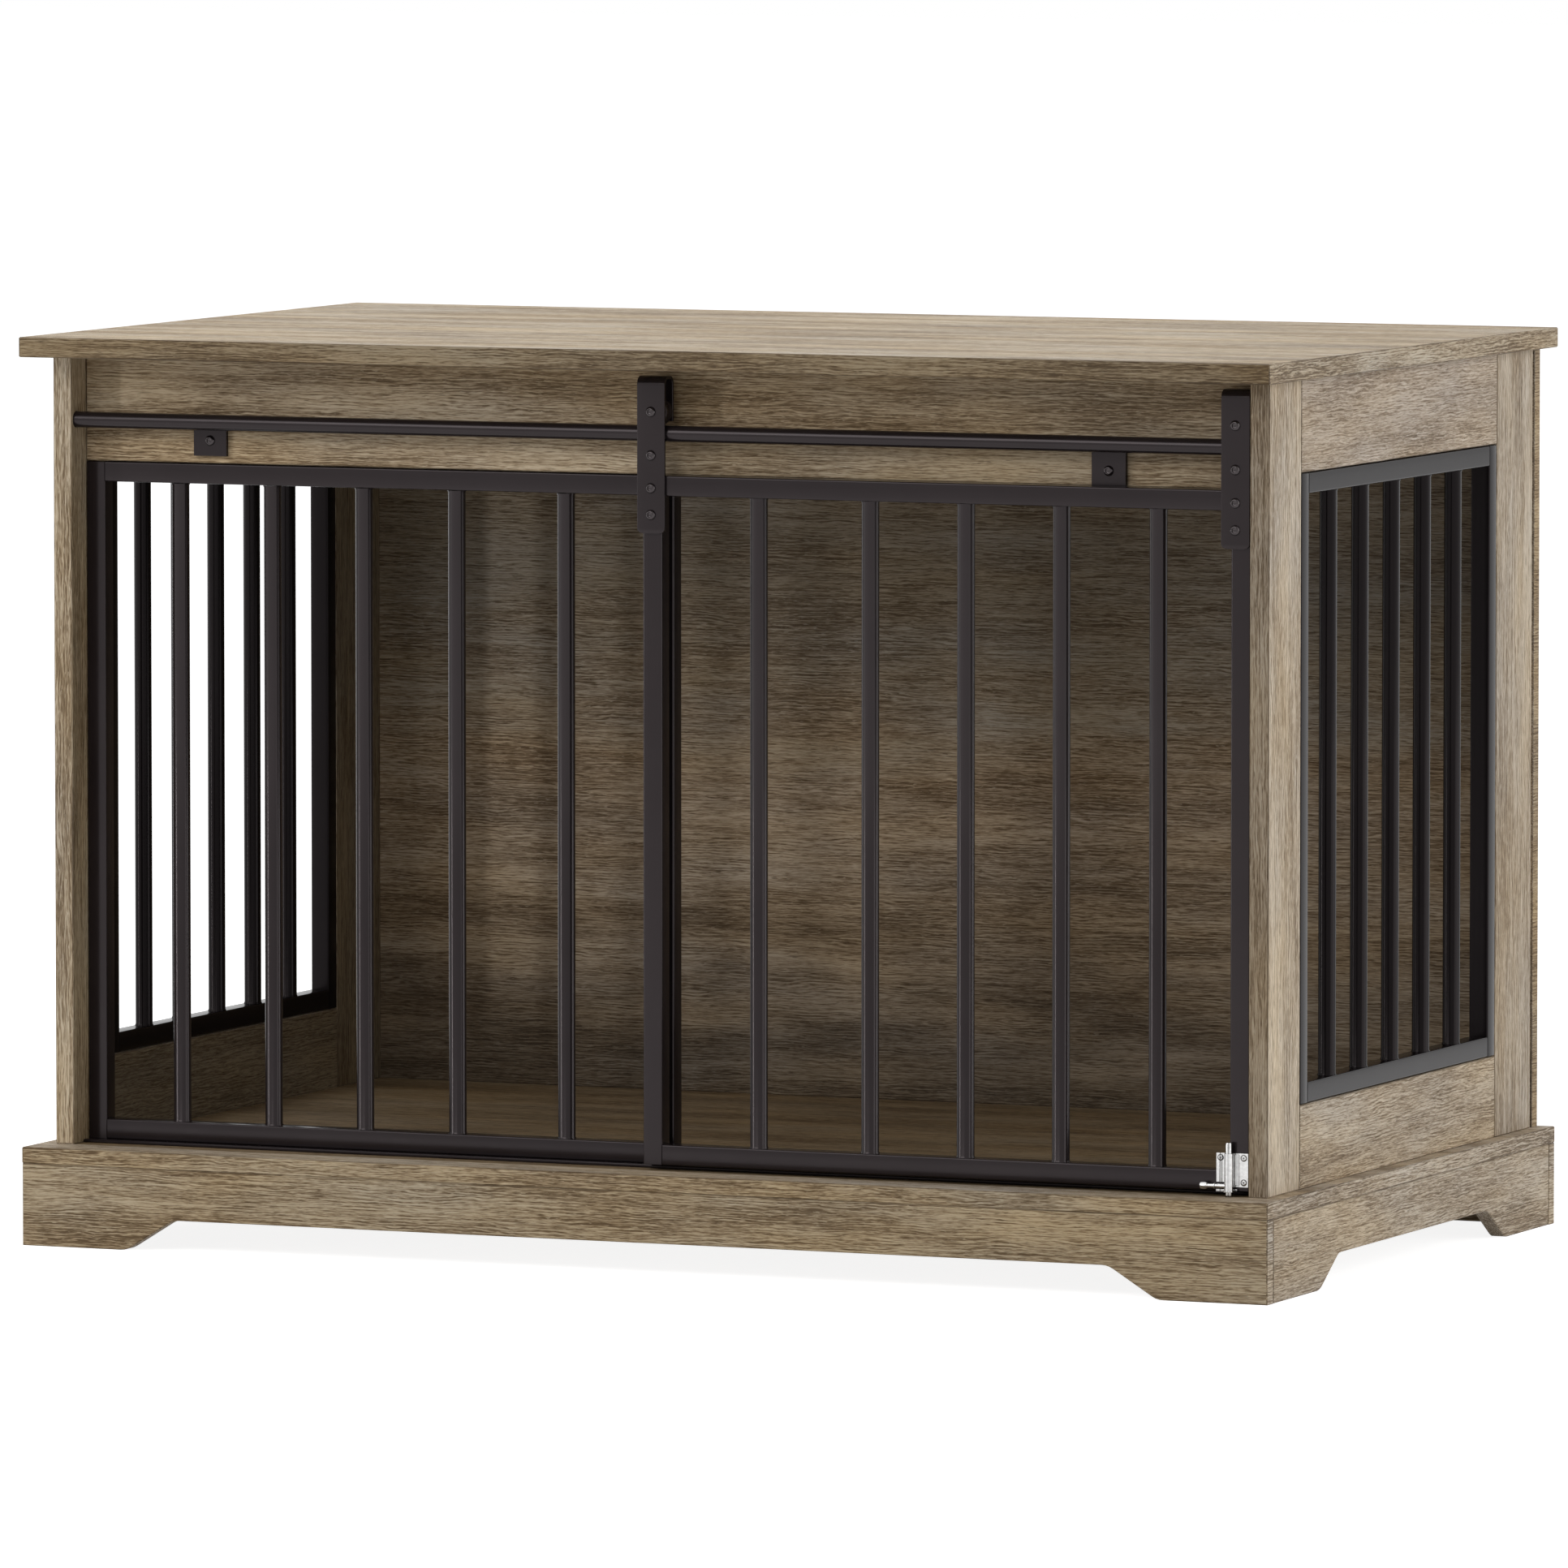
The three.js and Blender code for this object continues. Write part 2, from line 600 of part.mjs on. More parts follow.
function makeLock() {
  const right = lockRight - rodX;
  const left = right - lockWidth;
  const back = lockBack - rodY;
  const face = lockFace - rodY;
  const wingBottom = baseTop + lockWingFoot;
  const [screwLow, screwHigh] = lockScrewHeights;
  const plan = (x0, x1, front) => outline([[x0, front], [x1, front], [x1, back], [x0, back]]);
  const lipBottom = lockPlateBottom - lockLipDrop;
  const rise = lockPlateTop - lipBottom;
  const neckRight = right - lockNeckInset;

  const barrel = bar(barrelRadius, rise, facingUp).translate(0, 0, lipBottom + rise / 2);
  const neck = lockPiece(plan(0, neckRight, face - lockRidge), lipBottom, lockPlateTop);
  const wing = lockPiece(plan(left, 0, face), wingBottom, lockPlateTop);
  const beadLeft = left + lockScrewInset - beadWidth / 2;
  const beadTop = screwHigh - lockScrewHead - seam;
  const bead = lockPiece(plan(beadLeft, beadLeft + beadWidth, face - lockRidge), wingBottom, beadTop);
  const plate = lockPiece(plan(0, right, face), lockPlateBottom, lockPlateTop);
  const lip = lockPiece(plan(left, 0, face - lockRidge), lipBottom, lipBottom + lockLipHeight);
  const stem = lockPiece(plan(-lockStem, 0, face), lipBottom, lockPlateTop);

  const bore = bar(rodRadius + rodPlay, 3 * rise, facingUp).translate(0, 0, lipBottom);
  const slotHalf = knobPinRadius + rodPlay;
  const slot = block([-2 * barrelRadius, -slotHalf, 0], [0, slotHalf, 2 * lockPlateTop]);
  const rivetX = rodX + left + lockScrewInset;
  const places = [[lockScrewX, screwLow], [lockScrewX, screwHigh], [rivetX, screwHigh]];
  const holes = places.map(([x, z]) => boltHole(lockScrewRadius + boltPlay, 6 * lockSheet)
    .translate(x - rodX, back, z));
  const body = join(barrel, neck, wing, bead, plate, lip, stem);
  place('lock_plate', cut(body, bore, slot, ...holes), nickel(), rodX, rodY, 0);

  const rodBottom = baseTop + rodFloorGap;
  const rodLength = baseTop + rodHead - rodBottom;
  const knobZ = baseTop + knobRise;
  const stud = bar(knobPinRadius + boltPlay, 2 * rodRadius, facingSide)
    .translate(-rodRadius, 0, knobZ - rodBottom - rodLength / 2);
  const rod = cut(bar(rodRadius, rodLength, facingUp), stud);
  place('lock_rod', rod, nickel(), rodX, rodY, rodBottom + rodLength / 2);

  const pinLength = knobReach - knobLength;
  const pin = bar(knobPinRadius, pinLength, facingSide).translate(-pinLength / 2 - boltPlay, 0, 0);
  const knob = bar(knobRadius, knobLength, facingSide).translate(knobLength / 2 - knobReach, 0, 0);
  place('lock_knob', join(pin, knob), nickel(), rodX, rodY, knobZ);

  const screw = (length) => domedBolt(lockScrewRadius, length, lockScrewHead, lockScrewHeadHeight,
    lockScrewRadius * socketPart, lockScrewHeadHeight * socketPart);
  place('lock_lower_screw', screw(lockScrewGrip), nickel(), lockScrewX, lockFace, screwLow);
  place('lock_upper_screw', screw(lockScrewGrip), nickel(), lockScrewX, lockFace, screwHigh);
  place('lock_rivet', screw(lockSheet), nickel(), rivetX, lockFace, screwHigh);
}

makeTopAndBase();
makePlinth();
makeCabinet();
makeSideGrilles();
makeFrontGrilles();
makeRail();
makeHangers();
makeLock();

export default table;
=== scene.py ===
import math

import bmesh
import bpy
import numpy as np
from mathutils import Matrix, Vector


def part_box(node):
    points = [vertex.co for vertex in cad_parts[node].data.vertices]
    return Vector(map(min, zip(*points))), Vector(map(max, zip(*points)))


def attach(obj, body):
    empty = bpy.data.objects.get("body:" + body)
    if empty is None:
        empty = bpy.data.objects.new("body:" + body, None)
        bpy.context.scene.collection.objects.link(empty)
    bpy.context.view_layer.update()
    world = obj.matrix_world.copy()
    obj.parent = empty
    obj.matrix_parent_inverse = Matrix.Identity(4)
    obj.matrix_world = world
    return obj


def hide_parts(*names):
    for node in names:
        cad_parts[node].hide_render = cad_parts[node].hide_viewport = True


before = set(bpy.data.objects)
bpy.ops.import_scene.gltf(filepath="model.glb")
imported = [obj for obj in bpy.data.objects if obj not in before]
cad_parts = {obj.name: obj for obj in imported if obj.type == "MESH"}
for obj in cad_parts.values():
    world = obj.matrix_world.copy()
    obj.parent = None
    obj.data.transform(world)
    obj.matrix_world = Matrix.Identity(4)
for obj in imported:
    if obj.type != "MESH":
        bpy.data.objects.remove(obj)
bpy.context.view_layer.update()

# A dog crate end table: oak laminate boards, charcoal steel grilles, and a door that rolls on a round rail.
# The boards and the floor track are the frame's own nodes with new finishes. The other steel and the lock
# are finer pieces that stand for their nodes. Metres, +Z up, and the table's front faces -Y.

MM = 0.001
LEFT_RIGHT = ("left", "right")

# ---- sizes that the frame's boxes don't give ------------------------------------------------------
TUBE_CORNER = 1.2 * MM
TUBE_EASE = 0.25 * MM
HEAD_LIFT = 0.3 * MM
BAR_RADIUS = 6.5 * MM
WELD_WIDTH = 1.3 * MM
WELD_HEIGHT = 0.55 * MM
SIDE_BARS = 5
FRONT_BAR_SHARES = (0.144, 0.307, 0.469, 0.632, 0.823)
RAIL_RADIUS = 6 * MM
RAIL_EASE = 0.5 * MM
CLIP_GAP = 0.3 * MM
CLIP_JAW = 4.5 * MM
CLIP_FOOT = 3.5 * MM
CLIP_EDGE = 0.35 * MM
STRAP_THICKNESS = 2.5 * MM
STRAP_BEND = 6 * MM
STRAP_CORNER = 4 * MM
STRAP_EDGE = 0.35 * MM
STRAP_LEAD = 1 * MM
STRAP_BACK_LEAF = 33.5 * MM
BOLT_SHANK = 3 * MM
BOLT_HEAD = 2.2 * MM
BOLT_CLEARANCE = 0.06 * MM
SCREW_SHANK = 1.25 * MM
SCREW_HEAD = 0.9 * MM
SMALL_HEAD = 3 * MM
THREAD_PITCH = 1.0 * MM
THREAD_DEPTH = 0.3 * MM
THREAD_OVERLAP = 0.2 * MM
THREAD_FACETS = 24
THREAD_STEPS = 6
NUT_CHAMFER = 0.5 * MM
ROLLER_TREAD = 10.1 * MM
ROLLER_HUB = 5 * MM
ROLLER_RIM = 9.9 * MM
ROLLER_DISH = 0.7 * MM
ROLLER_EASE = 0.4 * MM
GROOVE_GAP = 0.15 * MM
LOCK_SHEET = 1.2 * MM
LOCK_STEP = 0.8 * MM
LOCK_LIP = 0.6 * MM
LOCK_OVERLAP = 0.2 * MM
LOCK_EDGE = 0.15 * MM
BARREL_BORE = 2.72 * MM
BARREL_RADIUS = 3.5 * MM
BARREL_RIM = 4.3 * MM
KNOB_PIN = 1.6 * MM
KNOB_COLLAR = 0.5 * MM
# In degrees: edges sharper than the first stay crisp, and edges sharper than the second are rounded.
SMOOTH_ANGLE = 35
ROUNDED_ANGLE = 40

# ---- the photograph's view ------------------------------------------------------------------------
IMAGE_SIDE = 1932
FOCAL_PIXELS = 18351.06
CAMERA_PLACE = (4.406016, -10.250236, 1.229371)
CAMERA_TILT = 4.557
CAMERA_TURN = 23.297
SENSOR = 36.0


# ---- node trees as expressions --------------------------------------------------------------------
class Wire:
    """A socket of a node tree. Arithmetic on it adds Math nodes."""

    def __init__(self, shade, socket):
        self.shade = shade
        self.socket = socket

    def _math(self, operation, *values):
        return self.shade.node("ShaderNodeMath", {"operation": operation}, dict(enumerate(values)))

    def __add__(self, other):
        return self._math("ADD", self, other)

    def __sub__(self, other):
        return self._math("SUBTRACT", self, other)

    def __rsub__(self, other):
        return self._math("SUBTRACT", other, self)

    def __mul__(self, other):
        return self._math("MULTIPLY", self, other)

    def __truediv__(self, other):
        return self._math("DIVIDE", self, other)

    def __pow__(self, other):
        return self._math("POWER", self, other)

    def __abs__(self):
        return self._math("ABSOLUTE", self)

    def __lt__(self, other):
        return self._math("LESS_THAN", self, other)

    def __gt__(self, other):
        return self._math("GREATER_THAN", self, other)

    def sine(self):
        return self._math("SINE", self)

    def low(self, other):
        return self._math("MINIMUM", self, other)

    def high(self, other):
        return self._math("MAXIMUM", self, other)

    __radd__ = __add__
    __rmul__ = __mul__


class Shade:
    """The node tree of a material or of the world, and the shader whose sockets it sets."""

    def __init__(self, owner, shader="Principled BSDF"):
        owner.use_nodes = True
        self.owner = owner
        self.tree = owner.node_tree
        self.surface = self.tree.nodes[shader]

    def _fill(self, socket, value):
        if isinstance(value, Wire):
            self.tree.links.new(value.socket, socket)
        else:
            socket.default_value = value

    def node(self, kind, settings=None, values=None, out=None):
        """Any node: its settings first, then the values or links of its sockets. It gives the output of
        the name in out, or else the node's first."""
        made = self.tree.nodes.new(kind)
        for key, value in (settings or {}).items():
            if key == "stops":
                ramp = made.color_ramp
                while len(ramp.elements) < len(value):
                    ramp.elements.new(1.0)
                for element, (place, color) in zip(ramp.elements, value):
                    element.position = place
                    element.color = (*color, 1.0)
            else:
                setattr(made, key, value)
        for key, value in (values or {}).items():
            socket = made.inputs[key] if isinstance(key, int) else next(
                s for s in made.inputs if key in (s.identifier, s.name) and s.enabled)
            self._fill(socket, value)
        outputs = [s for s in made.outputs if s.enabled and out in (None, s.name)]
        return Wire(self, outputs[0])

    def set(self, **sockets):
        """Values or links for the shader, with underscores for spaces."""
        for key, value in sockets.items():
            self._fill(self.surface.inputs[key.replace("_", " ")], value)

    def split(self, vector):
        made = self.node("ShaderNodeSeparateXYZ", None, {0: vector}).socket.node
        return [Wire(self, socket) for socket in made.outputs]

    def join(self, x, y, z):
        return self.node("ShaderNodeCombineXYZ", None, {0: x, 1: y, 2: z})

    def place(self):
        """The object's own coordinates x, y and z, in millimetres."""
        return [part * (1 / MM) for part in self.split(self.node("ShaderNodeTexCoord", out="Object"))]

    def seen(self):
        """1 for rays from the camera, a reflection or a clear surface, and 0 for all other rays."""
        camera, glossy, through = (self.node("ShaderNodeLightPath", out=f"Is {kind} Ray")
                                   for kind in ("Camera", "Glossy", "Transmission"))
        return camera.high(glossy).high(through)

    def noise(self, x, y, z, detail):
        return self.node("ShaderNodeTexNoise", {"noise_dimensions": "3D"}, {
            "Vector": self.join(x, y, z), "Scale": 1.0, "Detail": detail, "Roughness": 0.5,
            "Distortion": 0.0})

    def mottle(self, place, per_mm, detail):
        """Noise that is the same in all directions, with about so many patches to the millimetre."""
        return self.noise(*(part * per_mm for part in place), detail)

    def span(self, value, low, high, to_low=0.0, to_high=1.0):
        """value from low to high, made to run from to_low to to_high, and held at the ends."""
        return self.node("ShaderNodeMapRange", {"clamp": True}, {
            "Value": value, "From Min": low, "From Max": high, "To Min": to_low, "To Max": to_high})

    def ramp(self, value, *stops):
        return self.node("ShaderNodeValToRGB", {"stops": stops}, {"Fac": value})

    def blend(self, amount, first, second, kind="MIX"):
        """A mix of two colours, each a link or its red, green and blue."""
        first, second = (color if isinstance(color, Wire) else (*color, 1.0) for color in (first, second))
        return self.node("ShaderNodeMix", {"data_type": "RGBA", "blend_type": kind}, {
            "Factor_Float": amount, "A_Color": first, "B_Color": second})

    def bump(self, height, strength, distance):
        self.set(Normal=self.node("ShaderNodeBump", None, {
            "Strength": strength, "Distance": distance, "Height": height}))


# ---- the frame's boxes ----------------------------------------------------------------------------
def corners(node):
    """The lowest and the highest corner of a node's box."""
    return [np.array(corner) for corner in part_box(node)]


def middle_of(node):
    """The middle of a node's box, in millimetres."""
    low, high = corners(node)
    return ((low + high) / 2 / MM).tolist()


def axis_point(low, high, direction):
    """The middle of a box, moved along a direction to the frame's zero."""
    point = (low + high) / 2
    point["xyz".index(direction)] = 0
    return point


# ---- finishes -------------------------------------------------------------------------------------
OAK_DARK = (0.150, 0.108, 0.066)
OAK_BROWN = (0.285, 0.222, 0.150)
OAK_MIDDLE = (0.440, 0.366, 0.275)
OAK_PALE = (0.575, 0.500, 0.395)
OAK_CREAM = (0.690, 0.625, 0.520)
WEATHER_WARM = (1.05, 1.0, 0.88)
WEATHER_COOL = (0.97, 1.0, 1.04)
EDGE_LINE = (0.060, 0.040, 0.024)
COAT_DARK = (0.0115, 0.0083, 0.0090)
COAT_PALE = (0.0170, 0.0128, 0.0136)
COAT_SHEEN = (1.0, 0.88, 0.90, 1.0)
NICKEL_DULL = (0.50, 0.495, 0.49)
NICKEL_BRIGHT = (0.64, 0.635, 0.63)
# Painted shade and painted dark reflection on the nickel, and how dark the painted shade at each screw
# gets.
PAINTED_SHADE_AND_REFLECTION = (0.05, 0.047, 0.045)
SCREW_SHADE_STRENGTH = 0.85
# The sizes from here to the inside of the crate are in millimetres.
EDGE_BAND = 0.75
RIDGE_PITCH = 2.5
SEED_SHIFTS = (317, 131, 73)
# Painted light and shade on the back panel: how far its edge sways with the bands, and where its foot and
# head lie.
PAINTED_LIGHT_SWAY = 190
PAINTED_LIGHT_FOOT, PAINTED_LIGHT_HEAD = 60, 600
# The radius of the ring of painted shade round each screw head.
SCREW_SHADE_RING = 2.2
# The inside of the crate: its lowest corner and its highest one.
CABIN = ((-472.8, -266.0, 73.8), (472.8, 282.0, 665.2))


def oak(node, seed, grain, contrast, waviness, tint, front_tint, inside_shade=None, painted_light=None):
    """Oak laminate for one board. Noise stretched along the grain gives broad bands, strands and close
    ridges; short dark pores and pale flecks lie over them, and the embossing follows the ridges and pores.
    The board's ends have an edge band whose grain turns with the edge, and a thin dark line runs along the
    board's edges. The front and rear faces have a tint of their own, and the faces inside the crate take a
    darker tint that is painted shade. A wide panel can take painted light and shade from its foot to its
    head."""
    shade = Shade(bpy.data.materials.new(f"oak_{node}"))
    low, high = (corner / MM for corner in corners(node))
    middle, half = (low + high) / 2, (high - low) / 2
    place = shade.place()
    depths = [float(half[i]) - abs(place[i] - float(middle[i])) for i in range(3)]
    order = {"x": (0, 1, 2), "y": (1, 0, 2), "z": (2, 1, 0)}[grain]
    run, side, through = (place[i] + seed * shift for i, shift in zip(order, SEED_SHIFTS))
    band = depths[order[0]] < EDGE_BAND
    run, side = run + band * (side - run), side + band * (run - side)

    def figure(length, width, wander=0.0, detail=2.0):
        """Noise whose patches are about so many millimetres long and wide; wander shifts it sideways."""
        return shade.noise(run / length, (side + wander) / width, (through + wander) / width, detail) - 0.5

    wander = figure(80, 24) * (3.4 * waviness) + figure(16, 5) * (0.7 * waviness)
    bands = figure(230, 34, wander * 3, 3.0)
    strands = figure(110, 5, wander * 1.5)
    ridges = figure(44 / waviness, 1.0, wander, 1.0) + figure(13, 0.75, wander + 19, 1.0) * 0.6
    drift = figure(38, 7) * 9 + wander
    lines = ((side + through + drift) * (2 * math.pi / RIDGE_PITCH)).sine() * (0.5 + figure(55, 9) * 3)
    fibres = figure(7, 0.4, wander)
    tone = 0.5 + (bands * 1.2 + strands * 0.4 + ridges * 1.15 + lines * 0.28 + fibres * 1.4) * contrast

    color = shade.ramp(tone, (0.0, OAK_DARK), (0.28, OAK_BROWN), (0.5, OAK_MIDDLE), (0.72, OAK_PALE),
                       (1.0, OAK_CREAM))
    pores = shade.span(figure(14, 0.8, wander + 41), 0.10, 0.17)
    flecks = shade.span(figure(7, 0.9, wander + 97), 0.11, 0.19)
    color = shade.blend(pores * 0.7, color, OAK_DARK)
    color = shade.blend(flecks * 0.6, color, OAK_CREAM)
    weather = shade.span(figure(170, 45, wander * 2), -0.2, 0.2)
    color = shade.blend(1.0, color, shade.blend(weather, WEATHER_WARM, WEATHER_COOL), "MULTIPLY")
    front = depths[1] < EDGE_BAND
    tint = shade.blend(front, tint, front_tint)
    # Painted light and shade: the panel's inner face is darker at its foot and head and pale in between.
    if painted_light:
        height = place[2] + bands * PAINTED_LIGHT_SWAY
        painted_light_tone = shade.ramp(shade.span(height, PAINTED_LIGHT_FOOT, PAINTED_LIGHT_HEAD), *painted_light)
        inner_face = place[1] < CABIN[1][1]
        tint = shade.blend(inner_face, tint, shade.blend(1.0, tint, painted_light_tone, "MULTIPLY"))
    # Painted shade: faces inside the crate take a darker tint.
    if inside_shade:
        start, end = CABIN
        inside = (start[2] < place[2]) * (place[2] < end[2]) * (abs(place[0]) < end[0])
        inside = inside * (start[1] < place[1]) * (place[1] < end[1])
        tint = shade.blend(inside, tint, inside_shade)
    color = shade.blend(1.0, color, tint, "MULTIPLY")
    a, b, c = depths
    edge = a.low(b).high(a.high(b).low(c))
    line = shade.span(edge + strands * 1.2, 0.32, 0.85, 0.66, 0.0)
    shade.set(Base_Color=shade.blend(line, color, EDGE_LINE), Specular_IOR_Level=0.25,
              Roughness=0.62 - ridges * 0.3 + pores * 0.1)
    relief = ridges * 0.9 + lines * 0.2 + fibres * 0.3 - pores * 0.25 + flecks * 0.15
    shade.bump(relief, 0.6, 0.6 * MM)
    return shade.owner


def powder_coat(name, shine, rough, depth=1.0):
    """Charcoal powder coat on steel: fine pebbling, faint clouds, and slightly smoother rubbed patches.
    shine is the specular level, rough the roughness that pebbles add to and rubbing takes from, and depth
    a factor of the colour."""
    shade = Shade(bpy.data.materials.new(name))
    place = shade.place()
    pebbles = shade.mottle(place, 2.6, 2.0)
    clouds = shade.mottle(place, 0.018, 4.0)
    rubbed = shade.span(shade.mottle(place, 0.06, 4.0), 0.5, 0.75)
    dark, pale = (tuple(part * depth for part in tone) for tone in (COAT_DARK, COAT_PALE))
    shade.set(Base_Color=shade.ramp(clouds, (0.25, dark), (0.75, pale)), Metallic=0.0,
              Roughness=rough + pebbles * 0.08 - rubbed * 0.05, Specular_IOR_Level=shine,
              Specular_Tint=COAT_SHEEN)
    shade.bump(pebbles, 0.15, 0.03 * MM)
    return shade.owner


def nickel_plate(name, painted_lines=(), screws=()):
    """Bright nickel, drawn faintly along Z, with small handling marks. Painted dark lines run upright
    (place from the rod's axis, half-width, strength): painted shade in the pressing's creases and painted
    dark reflections on the rod. A ring and a dot of painted shade lie at each screw (x, z). All in
    millimetres."""
    shade = Shade(bpy.data.materials.new(name))
    x, y, z = place = shade.place()
    drawn = shade.noise(x * 5.2, y * 5.2, z * 0.3, 3.0)
    marks = shade.mottle(place, 0.42, 4.0)
    color = shade.ramp(marks, (0.3, NICKEL_DULL), (0.7, NICKEL_BRIGHT))
    # Upright lines of painted shade and painted dark reflection.
    for offset, width, strength in painted_lines:
        painted_line = shade.span(abs(x - (ROD_X + offset)), width * 0.4, width, strength, 0.0)
        color = shade.blend(painted_line, color, PAINTED_SHADE_AND_REFLECTION)
    # Painted shade round each screw head and in its middle.
    for across, up in screws:
        reach = ((x - across) ** 2 + (z - up) ** 2) ** 0.5
        ring = shade.span(abs(reach - SCREW_SHADE_RING), 0.15, 0.5, SCREW_SHADE_STRENGTH, 0.0)
        dot = shade.span(reach, 0.5, 0.9, SCREW_SHADE_STRENGTH, 0.0)
        color = shade.blend(ring.high(dot), color, PAINTED_SHADE_AND_REFLECTION)
    shade.set(Base_Color=color, Metallic=1.0, Roughness=0.16 + drawn * 0.12 + marks * 0.06)
    shade.bump(drawn, 0.12, 0.04 * MM)
    return shade.owner


STEEL = powder_coat("charcoal_powder_coat", 0.28, 0.16)
# The side grilles' copy of the powder coat is darker and less shiny: painted shade that dims them under the
# side lamp.
SHADED_SIDE_STEEL = powder_coat("shaded_side_powder_coat", 0.10, 0.16, 0.4)
BOLT_STEEL = powder_coat("bolt_powder_coat", 0.60, 0.10, 0.7)
ROD_X = middle_of("lock_rod")[0]
# Upright lines of painted dark reflection on the rod and of painted shade in the pressing's creases.
ROD_PAINTED_REFLECTIONS = ((0.5, 0.7, 0.55), (-2.3, 0.5, 0.8), (2.4, 0.4, 0.7))
PRESSING_PAINTED_SHADE = ((-7.6, 0.6, 0.85), (-6.2, 0.35, 0.5), (-3.9, 0.6, 0.9), (-1.2, 0.5, 0.45),
                  (0.7, 0.6, 0.35), (3.9, 0.6, 0.9), (5.4, 0.5, 0.5), (6.6, 0.4, 0.7))
LOCK_SCREWS = ("lock_lower_screw", "lock_upper_screw", "lock_rivet")
NICKEL = nickel_plate("nickel_plate")
NICKEL_ROD = nickel_plate("nickel_rod", ROD_PAINTED_REFLECTIONS)
NICKEL_PRESSING = nickel_plate("nickel_pressing", PRESSING_PAINTED_SHADE,
                               [middle_of(node)[::2] for node in LOCK_SCREWS])
SLOTS = {**dict.fromkeys((STEEL.name, SHADED_SIDE_STEEL.name, BOLT_STEEL.name), "black_steel"),
         **dict.fromkeys((NICKEL.name, NICKEL_ROD.name, NICKEL_PRESSING.name), "nickel")}


# ---- surfaces -------------------------------------------------------------------------------------
def skin(rings, looped=False):
    """Quads between neighbouring rings of points. looped joins the last ring to the first; otherwise a
    flat face closes each end."""
    count, around = rings.shape[:2]
    i = np.arange(count if looped else count - 1)[:, None]
    j = np.arange(around)[None, :]
    here, beyond = i * around, (i + 1) % count * around
    ahead = (j + 1) % around
    faces = np.stack([here + j, here + ahead, beyond + ahead, beyond + j], -1).reshape(-1, 4).tolist()
    if not looped:
        faces.append(list(range(around))[::-1])
        faces.append(list(range((count - 1) * around, count * around)))
    return rings.reshape(-1, 3), faces


def axes(direction):
    """Three unit vectors: along the direction, then two across it."""
    along = np.array({"x": (1, 0, 0), "y": (0, 1, 0), "z": (0, 0, 1)}[direction], float)
    return along, np.roll(along, 1), np.roll(along, 2)


def carried(section, places, scales, start, direction):
    """A flat section carried along a straight line: at each place along it, the section times its scale."""
    along, across, up = axes(direction)
    flat = section[:, :1] * across + section[:, 1:] * up
    places = np.asarray(places)[:, None, None]
    scales = np.asarray(scales)[:, None, None]
    return skin(np.asarray(start) + places * along + scales * flat)


def extruded(outline, low, high, direction):
    """A flat outline of points, given a length along an axis."""
    return carried(np.asarray(outline), (low, high), (1, 1), (0, 0, 0), direction)


def round_square(size, corner, steps=5):
    """Points round a square whose corners are quarter circles."""
    turn = np.linspace(0, math.pi / 2, steps)[None, :] + (np.arange(4) * math.pi / 2)[:, None]
    middle = (np.arange(4) * math.pi / 2 + math.pi / 4)[:, None]
    reach = (size / 2 - corner) * math.sqrt(2)
    return np.stack([reach * np.cos(middle) + corner * np.cos(turn),
                     reach * np.sin(middle) + corner * np.sin(turn)], -1).reshape(-1, 2)


def round_rings(centre, direction, place, radius, angle):
    """Rings of points round an axis: at each place along it, a radius for each angle."""
    along, across, up = axes(direction)
    return (np.asarray(centre) + place[..., None] * along
            + (radius * np.cos(angle))[..., None] * across + (radius * np.sin(angle))[..., None] * up)


def turned(profile, centre, direction, facets=48, looped=False):
    """A profile turned about an axis. Each entry is (place along the axis, radius) or also how much its
    ring is a hexagon, from 0 to 1; the radius is then that of the hexagon's corners."""
    angle = np.arange(facets) * 2 * math.pi / facets
    rows = np.array([(*entry, 0.0)[:3] for entry in profile])
    place, radius, hexagon = (column[:, None] for column in rows.T)
    flat_side = math.cos(math.pi / 6) / np.cos(angle % (math.pi / 3) - math.pi / 6)
    radius = radius * (1 - hexagon + hexagon * flat_side)
    return skin(round_rings(centre, direction, place, radius, angle), looped)


def thread(start, length, centre, direction, radius):
    """A threaded shank: its radius falls and rises once per pitch, a little later at each angle."""
    place = np.linspace(0, length, max(2, int(THREAD_STEPS * length / THREAD_PITCH)))[:, None]
    angle = (np.arange(THREAD_FACETS) * 2 * math.pi / THREAD_FACETS)[None, :]
    phase = (place / THREAD_PITCH + angle / (2 * math.pi)) % 1
    ease = np.clip(np.minimum(place, length - place) / THREAD_PITCH, 0, 1)
    depth = THREAD_DEPTH * (1 - ease * np.abs(2 * phase - 1))
    return skin(round_rings(centre, direction, start + place, radius - depth, angle))


def piece(name, skins, finish, body, *nodes, bevel=0.0):
    """One object of closed skins that rides on a body and stands for CAD nodes."""
    points = np.concatenate([part[0] for part in skins])
    starts = np.cumsum([0] + [len(part[0]) for part in skins])
    faces = [[start + k for k in face] for start, part in zip(starts.tolist(), skins) for face in part[1]]
    mesh = bpy.data.meshes.new(name)
    mesh.from_pydata(points.tolist(), [], faces)
    work = bmesh.new()
    work.from_mesh(mesh)
    bmesh.ops.recalc_face_normals(work, faces=work.faces)
    work.to_mesh(mesh)
    work.free()
    mesh.shade_smooth()
    mesh.set_sharp_from_angle(angle=math.radians(SMOOTH_ANGLE))
    mesh.materials.append(finish)
    thing = bpy.data.objects.new(name, mesh)
    bpy.context.scene.collection.objects.link(thing)
    if bevel:
        rounding = thing.modifiers.new("rounding", "BEVEL")
        rounding.width = bevel
        rounding.segments = 2
        rounding.limit_method = "ANGLE"
        rounding.angle_limit = math.radians(ROUNDED_ANGLE)
    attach(thing, body)
    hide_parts(*nodes)


